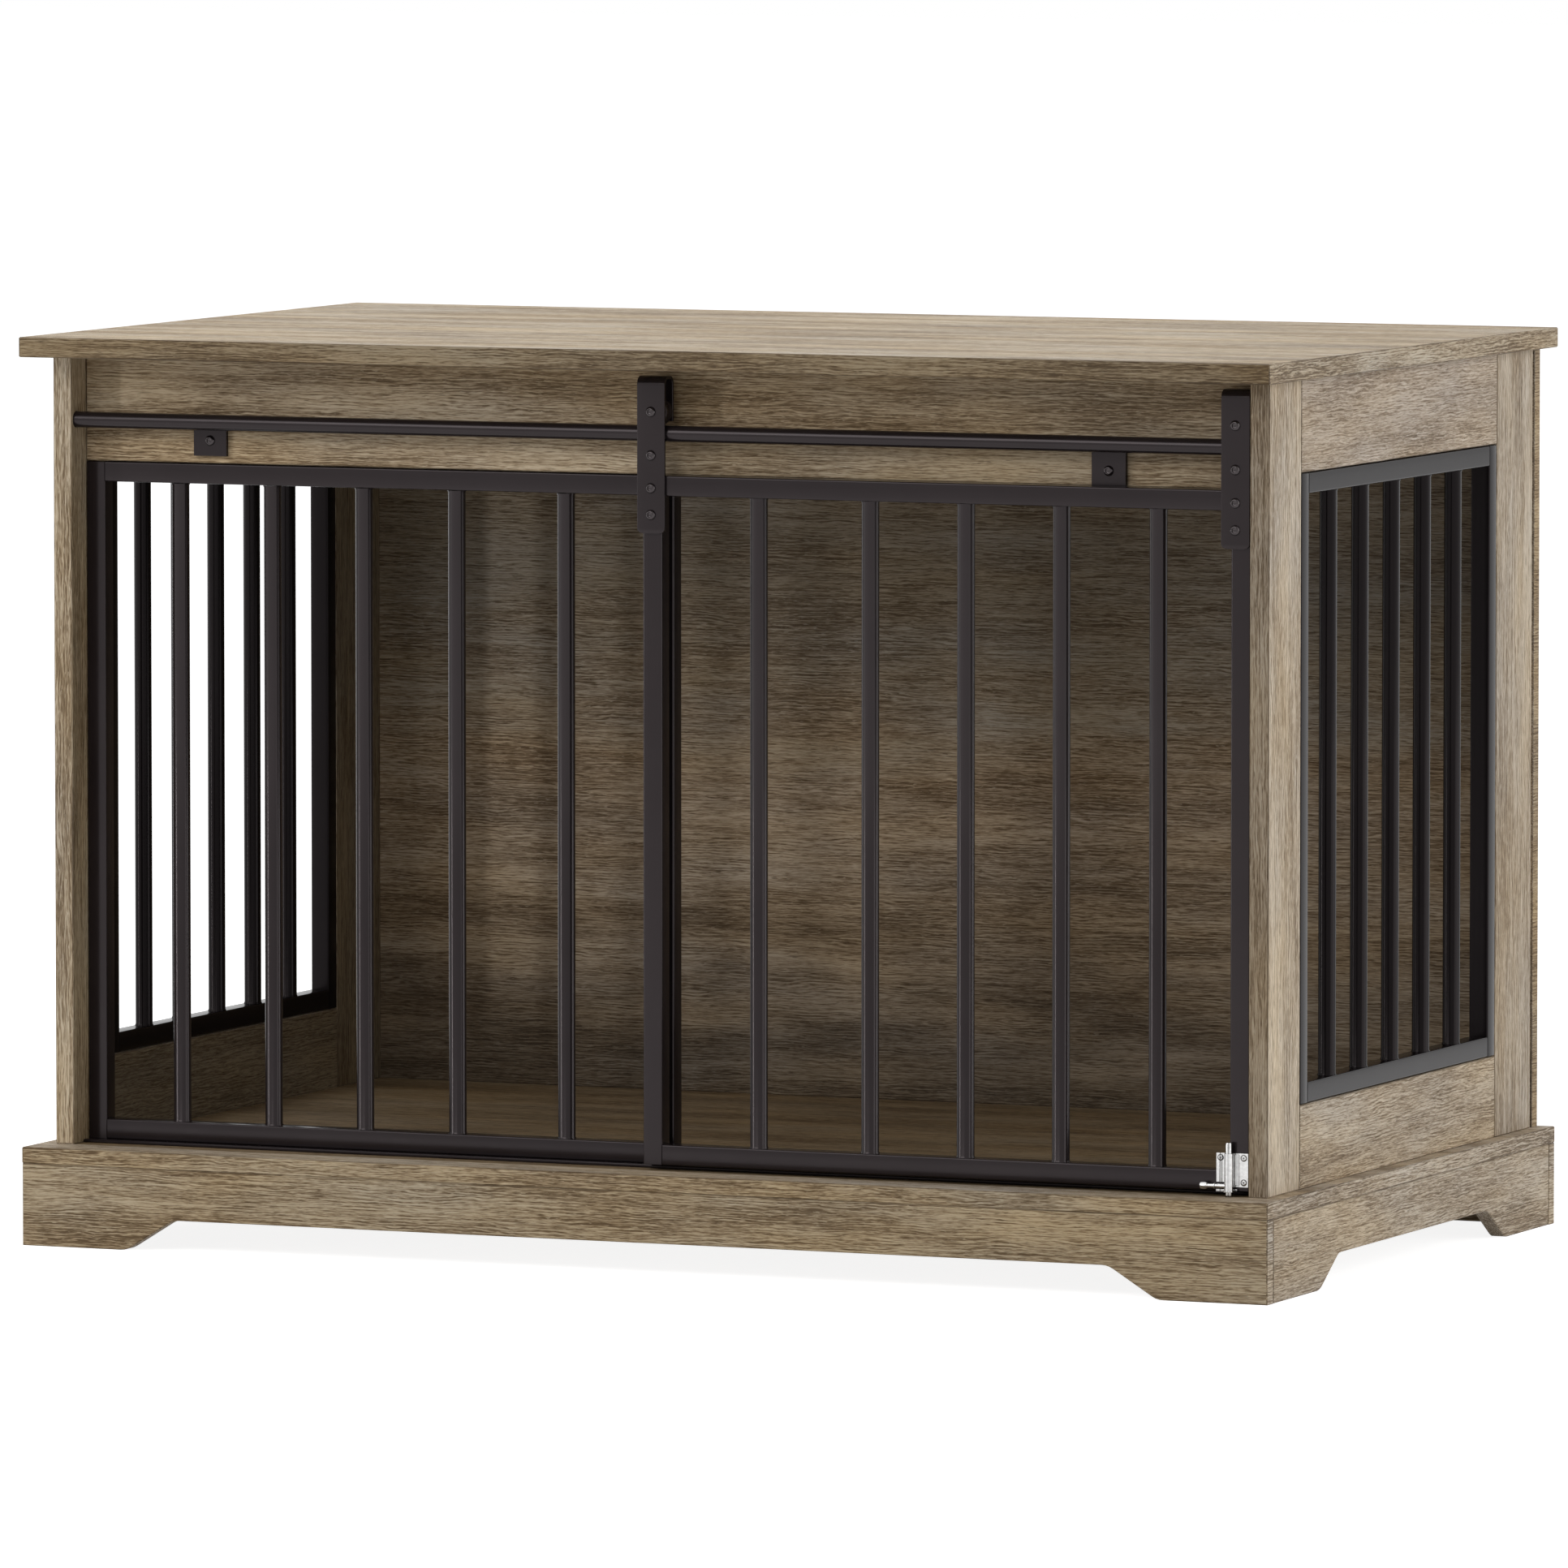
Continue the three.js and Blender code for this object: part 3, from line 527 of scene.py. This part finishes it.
# ---- boards: the frame's own nodes, each with its own patch of veneer -----------------------------
PLAIN = (1.01, 0.98, 0.98)
NEAR_POST_SIDE = (1.15, 1.12, 1.12)
UPPER_SIDE = (0.96, 0.93, 0.97)
TOP = (0.86, 0.82, 0.78)
TOP_EDGE = (0.50, 0.43, 0.33)
HEADER = (0.83, 0.75, 0.65)
POST = (1.00, 0.94, 0.87)
# Painted shade: the near post's front is darker than the other posts' fronts.
NEAR_POST = (0.66, 0.61, 0.565)
LOW_FRONT = (0.84, 0.755, 0.63)
INSIDE = (0.95, 0.92, 0.90)
PANEL_EDGE = (0.72, 0.62, 0.48)
# Painted shade on the faces inside the crate: its floor, its walls and the front posts' inner faces.
FLOOR_PAINTED_SHADE = (0.46, 0.385, 0.29)
WALL_PAINTED_SHADE = (0.34, 0.31, 0.26)
POST_PAINTED_SHADE = (0.80, 0.73, 0.62)
# Painted light and shade on the back panel's inner face, from its foot to its head: a brown foot in painted
# shade, a pale warm pool of painted light, grey, and a dark head in painted shade.
PANEL_PAINTED_LIGHT = ((0.0, (0.29, 0.27, 0.25)), (0.12, (0.39, 0.36, 0.33)), (0.30, (0.80, 0.74, 0.67)),
               (0.46, (0.98, 0.90, 0.82)), (0.64, (0.80, 0.79, 0.78)), (0.80, (0.56, 0.555, 0.55)),
               (1.0, (0.54, 0.53, 0.52)))
# Each look: grain axis, contrast, waviness, tint, tint of the front and rear faces, painted shade inside
# the crate, painted light and shade of a panel.
LONG_PLINTH = ("x", 1.25, 0.9, PLAIN, LOW_FRONT)
SHORT_PLINTH = ("y", 1.0, 1.3, PLAIN, PLAIN)
UPPER_BOARD = ("y", 0.75, 1.2, UPPER_SIDE, PLAIN, WALL_PAINTED_SHADE)
LOWER_BOARD = ("y", 0.85, 1.2, PLAIN, PLAIN, WALL_PAINTED_SHADE)
REAR_POST = ("z", 0.95, 0.7, PLAIN, POST, WALL_PAINTED_SHADE)
CORNER_BLOCK = ("z", 0.8, 0.6, INSIDE, INSIDE)
# A board's place in this list picks its patch of veneer.
BOARDS = {
    "table_top": ("x", 1.25, 0.8, TOP, TOP_EDGE),
    "base_board": ("x", 1.25, 1.0, PLAIN, LOW_FRONT, FLOOR_PAINTED_SHADE),
    "apron_front": ("x", 1.0, 0.75, PLAIN, HEADER),
    "front_plinth": LONG_PLINTH,
    "rear_plinth": LONG_PLINTH,
    "left_plinth": SHORT_PLINTH,
    "right_plinth": SHORT_PLINTH,
    "left_upper_board": UPPER_BOARD,
    "right_upper_board": UPPER_BOARD,
    "left_lower_board": LOWER_BOARD,
    "right_lower_board": LOWER_BOARD,
    "front_left_post": ("z", 0.95, 0.7, PLAIN, POST, POST_PAINTED_SHADE),
    "front_right_post": ("z", 0.95, 0.7, NEAR_POST_SIDE, NEAR_POST, POST_PAINTED_SHADE),
    "rear_left_post": REAR_POST,
    "rear_right_post": REAR_POST,
    "back_panel": ("x", 1.0, 1.0, PANEL_EDGE, INSIDE, None, PANEL_PAINTED_LIGHT),
    "front_left_corner_block": CORNER_BLOCK,
    "front_right_corner_block": CORNER_BLOCK,
    "rear_left_corner_block": CORNER_BLOCK,
    "rear_right_corner_block": CORNER_BLOCK,
}


def refinish(node, finish):
    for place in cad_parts[node].material_slots:
        place.material = finish


def finish_boards_and_track():
    for seed, (node, look) in enumerate(BOARDS.items(), start=1):
        refinish(node, oak(node, seed, *look))
    refinish("floor_track", STEEL)


# ---- grilles --------------------------------------------------------------------------------------
def square_tube(low, high):
    """A square steel tube in a box: its section carried along the box's longest side."""
    size = high - low
    direction = "xyz"[int(np.argmax(size))]
    length, wide = size.max(), size.min()
    start = (low + high) / 2 - axes(direction)[0] * length / 2
    shrink = 1 - 2 * TUBE_EASE / wide
    return carried(round_square(wide, TUBE_CORNER), (0, TUBE_EASE, length - TUBE_EASE, length),
                   (shrink, 1, 1, shrink), start, direction)


def round_bar(foot, length):
    """A round upright bar with a small weld bead at each end: the radius swells at the rails."""
    swell = BAR_RADIUS + WELD_HEIGHT
    low = [(0, swell), (WELD_WIDTH * 0.45, swell - WELD_HEIGHT * 0.25), (WELD_WIDTH, BAR_RADIUS)]
    high = [(length - place, radius) for place, radius in reversed(low)]
    return turned(low + high, foot, "z")


def grille(name, body, stile_ends, bar_shares, finish, lift=0.0):
    """The steelwork of one grille: its two stiles, and its rails and bars, each in its box in the frame.
    The upper rail stands higher than its box by lift."""
    low, high = corners(f"{name}_rails_and_bars")
    across = 0 if high[0] - low[0] > high[1] - low[1] else 1
    wide = high[1 - across] - low[1 - across]
    for end in stile_ends:
        node = f"{name}_{end}"
        piece(f"{node}_tube", [square_tube(*corners(node))], finish, body, node)
    skins = []
    for foot_z in (low[2], high[2] - wide + lift):
        skins.append(square_tube(np.array([*low[:2], foot_z]), np.array([*high[:2], foot_z + wide])))
    for share in bar_shares:
        foot = (low + high) / 2
        foot[across] = low[across] + share * (high[across] - low[across])
        foot[2] = low[2] + wide
        skins.append(round_bar(foot, high[2] - low[2] - 2 * wide))
    piece(f"{name}_steelwork", skins, finish, body, f"{name}_rails_and_bars")


def front_bar_shares(mirrored):
    """Bar places as shares of the rails' length, from shares between the two stiles' centres."""
    low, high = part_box("door_rails_and_bars")
    rail, tube = high[0] - low[0], high[1] - low[1]
    shares = [(share * (rail + tube) - tube / 2) / rail for share in FRONT_BAR_SHARES]
    return [1 - share for share in shares] if mirrored else shares


def side_bar_shares():
    """The same for bars with equal gaps between them."""
    low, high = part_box("left_grille_rails_and_bars")
    rail = high[1] - low[1]
    clear = (rail - 2 * SIDE_BARS * BAR_RADIUS) / (SIDE_BARS + 1)
    return [((i + 1) * clear + (2 * i + 1) * BAR_RADIUS) / rail for i in range(SIDE_BARS)]


def make_grilles():
    stiles = ("left_stile", "right_stile")
    grille("fixed_grille", "cabinet", stiles, front_bar_shares(False), STEEL, HEAD_LIFT)
    grille("door", "door", stiles, front_bar_shares(True), STEEL)
    for side in LEFT_RIGHT:
        grille(f"{side}_grille", "cabinet", ("front_stile", "rear_stile"), side_bar_shares(), SHADED_SIDE_STEEL)


# ---- rail and clips -------------------------------------------------------------------------------
def make_rail():
    low, high = corners("rail_bar")
    slim = RAIL_RADIUS - RAIL_EASE
    profile = [(low[0], slim), (low[0] + RAIL_EASE, RAIL_RADIUS), (high[0] - RAIL_EASE, RAIL_RADIUS),
               (high[0], slim)]
    piece("rail_rod", [turned(profile, axis_point(low, high, "x"), "x", 64)], STEEL, "cabinet", "rail_bar")


def clip_outline(low, high):
    """The clip's side view, as (y, z): a flat foot, and a block with a hollow seat round the rail."""
    _, seat_y, seat_z = axis_point(*corners("rail_bar"), "x")
    seat = RAIL_RADIUS + CLIP_GAP
    turn = np.linspace(-math.asin(CLIP_JAW / seat), math.asin((high[2] - seat_z) / seat), 15)
    hollow = np.stack([seat_y + seat * np.cos(turn), seat_z + seat * np.sin(turn)], -1)
    front = high[1] - CLIP_FOOT
    return [(high[1], low[2]), (high[1], high[2]), *hollow[::-1].tolist(), (front, seat_z - CLIP_JAW),
            (front, low[2])]


def make_clips():
    for side in LEFT_RIGHT:
        node = f"{side}_rail_clip"
        low, high = corners(node)
        piece(f"{side}_rail_saddle", [extruded(clip_outline(low, high), low[0], high[0], "x")], STEEL,
              "cabinet", node, bevel=CLIP_EDGE)
        bolt(f"{side}_clip_screw_head", f"{side}_rail_clip_screw", "cabinet", BOLT_STEEL)


# ---- bolts ----------------------------------------------------------------------------------------
def bolt_head(radius, height, seat):
    """Rings of a button head that faces -Y, from its seat out over the dome and into its hexagon socket."""
    dome = [(0.0, 1.0), (0.16, 1.0), (0.34, 0.965), (0.56, 0.89), (0.76, 0.79), (0.92, 0.68), (1.0, 0.58)]
    rings = [(height * up, radius * out, 0) for up, out in dome]
    rings += [(height * 0.97, radius * 0.52, 1), (height * 0.90, radius * 0.49, 1),
              (height * 0.42, radius * 0.48, 1), (height * 0.34, radius * 0.30, 0.5)]
    return [(seat - up, out, hexagon) for up, out, hexagon in rings]


def bolt(name, node, body, finish):
    """A button-head bolt that points along +Y, where its node is. A small head makes it a screw."""
    low, high = corners(node)
    radius = (high[0] - low[0]) / 2
    height, shank = (SCREW_HEAD, SCREW_SHANK) if radius < SMALL_HEAD else (BOLT_HEAD, BOLT_SHANK)
    centre = axis_point(low, high, "y")
    seat = low[1] + height
    skins = [turned(bolt_head(radius, height, seat), centre, "y"),
             thread(seat - THREAD_OVERLAP, high[1] - seat + THREAD_OVERLAP, centre, "y", shank)]
    piece(name, skins, finish, body, node)


# ---- hangers and rollers --------------------------------------------------------------------------
def strap_skin(node):
    """A flat strip carried along a path: up the front leaf, over two bends and down the back leaf. The
    strip narrows over its first few millimetres, so that its corners are quarter circles."""
    low, high = corners(node)
    half, thick, bend = (high[0] - low[0]) / 2, STRAP_THICKNESS / 2, STRAP_BEND - STRAP_THICKNESS / 2
    front, rear, top = low[1] + thick, high[1] - thick, high[2] - thick
    straight, tail = top - bend - STRAP_LEAD, high[2] - STRAP_BACK_LEAF
    ends = np.linspace(0, STRAP_CORNER, 7)
    turn = np.linspace(0, math.pi / 2, 9)
    quarter = np.stack([1 - np.cos(turn), np.sin(turn)], -1) * bend
    path = np.concatenate([
        np.stack([np.full(len(ends), front), low[2] + ends], -1), [[front, straight]],
        np.stack([front + quarter[:, 0], top - bend + quarter[:, 1]], -1),
        np.stack([rear - quarter[::-1, 0], top - bend + quarter[::-1, 1]], -1),
        [[rear, straight], [rear, tail + 0.4 * MM], [rear, tail]]])
    slope = np.gradient(path, axis=0)
    slope /= np.linalg.norm(slope, axis=1, keepdims=True)
    outward = np.stack([-slope[:, 1], slope[:, 0]], -1)
    from_end = np.clip(STRAP_CORNER - (path[:, 1] - low[2]), 0, None)
    from_end[path[:, 0] > (front + rear) / 2] = 0
    widths = half - STRAP_CORNER + np.sqrt(STRAP_CORNER ** 2 - from_end ** 2)
    angle = (np.arange(4)[:, None] * math.pi / 2 + np.linspace(0, math.pi / 2, 4)).reshape(-1)
    w = np.repeat([1, -1, -1, 1], 4) * (widths[:, None] - STRAP_EDGE) + STRAP_EDGE * np.cos(angle)
    t = np.repeat([1, 1, -1, -1], 4) * (thick - STRAP_EDGE) + STRAP_EDGE * np.sin(angle)
    return skin(np.stack([(low[0] + high[0]) / 2 + w, path[:, :1] + t * outward[:, :1],
                          path[:, 1:] + t * outward[:, 1:]], -1))


def roller_skin(node):
    """A wheel turned about Y: hub, dished face, flange and a groove that is an arc round the rail."""
    low, high = corners(node)
    middle, half = (low[1] + high[1]) / 2, (high[1] - low[1]) / 2
    flange = (high[2] - low[2]) / 2
    groove = RAIL_RADIUS + GROOVE_GAP
    reach = ROLLER_TREAD + groove
    widest = math.acos((reach - flange) / groove)
    turn = np.linspace(-widest, widest, 17)
    arc = [(groove * math.sin(a), reach - groove * math.cos(a)) for a in turn]
    dish = half - ROLLER_DISH
    side = [(half, BOLT_SHANK + BOLT_CLEARANCE), (half, ROLLER_HUB), (dish, ROLLER_HUB + 0.5 * MM),
            (dish, ROLLER_RIM - 0.7 * MM), (half - 0.1 * MM, ROLLER_RIM), (half, flange - ROLLER_EASE),
            (half - ROLLER_EASE, flange)]
    profile = [(-place, radius) for place, radius in side] + arc + side[::-1]
    return turned([(middle + place, radius) for place, radius in profile], axis_point(low, high, "y"),
                  "y", 96, looped=True)


def nut_skin(node):
    """A hexagon nut turned about Y, with its corners chamfered."""
    low, high = corners(node)
    corner = (high[2] - low[2]) / 2
    bore = BOLT_SHANK + BOLT_CLEARANCE
    profile = [(low[1], bore), (low[1], corner * 0.88), (low[1] + NUT_CHAMFER, corner, 1),
               (high[1] - NUT_CHAMFER, corner, 1), (high[1], corner * 0.88), (high[1], bore)]
    return turned(profile, axis_point(low, high, "y"), "y", looped=True)


def make_hangers():
    for side in LEFT_RIGHT:
        piece(f"{side}_strap", [strap_skin(f"{side}_hanger")], STEEL, "door", f"{side}_hanger")
        piece(f"{side}_wheel", [roller_skin(f"{side}_roller")], STEEL, f"{side}_roller", f"{side}_roller")
        piece(f"{side}_nut", [nut_skin(f"{side}_axle_nut")], STEEL, "door", f"{side}_axle_nut")
        for name in ("axle_bolt", "lift_bolt", "hanger_upper_bolt", "hanger_lower_bolt"):
            bolt(f"{side}_{name}_button", f"{side}_{name}", "door", BOLT_STEEL)


# ---- lock -----------------------------------------------------------------------------------------
def lock_plate_skins():
    """The lock's pressed plate: two wings, a raised neck, a rolled barrel open to the left, and at the
    barrel's foot a rim between two lips. All are upright profiles in plan, given a height."""
    low, high = corners("lock_plate")
    rod_x, rod_y, _ = axis_point(*corners("lock_rod"), "z")
    back, face = high[1], high[1] - LOCK_SHEET
    proud, sunk, lip = face - LOCK_STEP, face + LOCK_OVERLAP, face - LOCK_LIP
    top, foot, wing = high[2], low[2] + 3.5 * MM, low[2] + 6.9 * MM
    rolled = np.linspace(math.radians(-140), math.radians(118), 29)

    def block(x0, x1, y0, y1, z0, z1):
        return extruded([(x0, y0), (x1, y0), (x1, y1), (x0, y1)], z0, z1, "z")

    def shell(radius, z0, z1):
        """The rolled barrel's wall, from its bore out to a radius."""
        outer, inner = (np.stack([rod_x + reach * np.cos(angle), rod_y + reach * np.sin(angle)], -1)
                        for reach, angle in ((radius, rolled), (BARREL_BORE, rolled[::-1])))
        return extruded(np.concatenate([outer, inner]), z0, z1, "z")

    return [
        block(low[0], rod_x - 3.4 * MM, face, back, wing, top),
        block(low[0] + 2.4 * MM, low[0] + 4.4 * MM, proud, sunk, wing, top - 6 * MM),
        block(rod_x - 3.3 * MM, rod_x, sunk, back, low[2] + 0.4 * MM, top - 0.3 * MM),
        block(rod_x - 0.1 * MM, high[0], face, back, foot, top),
        block(rod_x + 2.2 * MM, high[0] - 6.6 * MM, proud, sunk, foot + 1.5 * MM, top - 1.2 * MM),
        block(low[0], rod_x - 2.9 * MM, lip, back, low[2], low[2] + 1.9 * MM),
        block(rod_x + 2.9 * MM, rod_x + 5.6 * MM, lip, back, low[2] + 0.6 * MM, low[2] + 2.1 * MM),
        shell(BARREL_RADIUS, low[2], top),
        shell(BARREL_RIM, low[2] + 0.1 * MM, low[2] + 1.4 * MM),
    ]


def rod_skin(node):
    """The lock's rod, turned about Z: rounded ends, and a groove near its head."""
    low, high = corners(node)
    foot, head = low[2], high[2]
    radius = (high[0] - low[0]) / 2
    waist, groove = radius - 0.25 * MM, head - 9.5 * MM
    profile = [(foot, radius - 0.7 * MM), (foot + 0.7 * MM, radius), (groove, radius),
               (groove + 0.3 * MM, waist), (groove + 0.9 * MM, waist), (groove + 1.2 * MM, radius),
               (head - 0.6 * MM, radius), (head - 0.15 * MM, waist), (head, radius - 0.8 * MM)]
    return turned(profile, axis_point(low, high, "z"), "z")


def knob_skin(node):
    """The lock's knob, turned about X: a hexagon head at the left, then its pin with a collar."""
    low, high = corners(node)
    start, end = low[0], high[0]
    head, pin, collar = (high[2] - low[2]) / 2, KNOB_PIN, KNOB_PIN + KNOB_COLLAR
    profile = [(start, head - 1.2 * MM), (start + 0.3 * MM, head - 0.4 * MM), (start + 0.9 * MM, head, 1),
               (start + 4.6 * MM, head, 1), (start + 5.2 * MM, head - 0.5 * MM), (start + 5.8 * MM, pin),
               (start + 10.2 * MM, pin), (start + 10.5 * MM, collar), (start + 11.3 * MM, collar),
               (start + 11.6 * MM, pin), (end, pin)]
    return turned(profile, axis_point(low, high, "x"), "x")


def make_lock():
    piece("lock_pressing", lock_plate_skins(), NICKEL_PRESSING, "door", "lock_plate", bevel=LOCK_EDGE)
    piece("lock_bolt_rod", [rod_skin("lock_rod")], NICKEL_ROD, "lock_bolt", "lock_rod")
    piece("lock_bolt_knob", [knob_skin("lock_knob")], NICKEL, "lock_bolt", "lock_knob")
    for name in LOCK_SCREWS:
        bolt(f"{name}_head", name, "door", NICKEL_PRESSING)


# ---- studio ---------------------------------------------------------------------------------------
FLOOR_REACH = 30.0
FLOOR_GREY = (0.65, 0.65, 0.65, 1.0)
# How bright the floor looks near the table and far off, and how many millimetres off the one starts to
# turn into the other and ends.
GLOW_NEAR, GLOW_FAR = 0.87, 1.0
GLOW_START, GLOW_END = 900, 2200
DOME_LIGHT = 0.22
# name, place, target, size, watts
LAMPS = (
    ("top_light", (-0.3, 0.3, 2.9), (0, 0, 0.6), (2.6, 2.2), 42),
    ("side_light", (3.0, 0.35, 1.0), (0, 0.1, 0.4), (3.0, 2.2), 38),
    ("front_light", (-0.7, -2.7, 2.0), (0, 0, 0.35), (2.2, 1.2), 27),
    ("strip_light", (-2.7, -2.1, 0.7), (0, 0, 0.35), (0.16, 1.8), 20),
)


def area_lamp(name, place, target, size, power):
    lamp = bpy.data.lights.new(name, "AREA")
    lamp.shape = "RECTANGLE"
    lamp.size, lamp.size_y = size
    lamp.energy = power
    thing = bpy.data.objects.new(name, lamp)
    thing.location = place
    aim = np.array(target, float) - np.array(place, float)
    aim /= np.linalg.norm(aim)
    thing.rotation_euler = (math.acos(-aim[2]), 0, math.atan2(aim[1], aim[0]) - math.pi / 2)
    bpy.context.scene.collection.objects.link(thing)


def make_floor():
    """A pale floor. The camera sees it lifted to white: nearly so round the table, where the table's
    shadow shows, and wholly so farther off."""
    side = FLOOR_REACH
    mesh = bpy.data.meshes.new("studio_floor")
    mesh.from_pydata([(-side, -side, 0), (side, -side, 0), (side, side, 0), (-side, side, 0)], [],
                     [(0, 1, 2, 3)])
    floor = bpy.data.objects.new("studio_floor", mesh)
    bpy.context.scene.collection.objects.link(floor)
    shade = Shade(bpy.data.materials.new("pale_floor"))
    x, y, _ = shade.place()
    glow = shade.seen() * shade.span((x * x + y * y) ** 0.5, GLOW_START, GLOW_END, GLOW_NEAR, GLOW_FAR)
    shade.set(Base_Color=FLOOR_GREY, Roughness=0.9, Specular_IOR_Level=0.0)
    shade.set(Emission_Color=shade.join(glow, glow, glow), Emission_Strength=1.0)
    mesh.materials.append(shade.owner)


def make_world():
    """White where the camera, a reflection or a clear surface sees it, and a dimmer dome for the rest."""
    world = bpy.data.worlds.new("studio")
    bpy.context.scene.world = world
    shade = Shade(world, "Background")
    shade.set(Color=(1, 1, 1, 1), Strength=shade.span(shade.seen(), 0, 1, DOME_LIGHT, 1.0))


def make_studio():
    make_floor()
    make_world()
    for lamp in LAMPS:
        area_lamp(*lamp)


def make_camera():
    camera = bpy.data.cameras.new("photo_view")
    camera.sensor_width = SENSOR
    camera.lens = SENSOR * FOCAL_PIXELS / IMAGE_SIDE
    camera.clip_end = 100
    thing = bpy.data.objects.new("photo_view", camera)
    thing.location = CAMERA_PLACE
    thing.rotation_euler = (math.radians(90 - CAMERA_TILT), 0, math.radians(CAMERA_TURN))
    bpy.context.scene.collection.objects.link(thing)
    bpy.context.scene.camera = thing


make_camera()
finish_boards_and_track()
make_grilles()
make_rail()
make_clips()
make_hangers()
make_lock()
make_studio()
bpy.context.scene.view_settings.view_transform = "Standard"
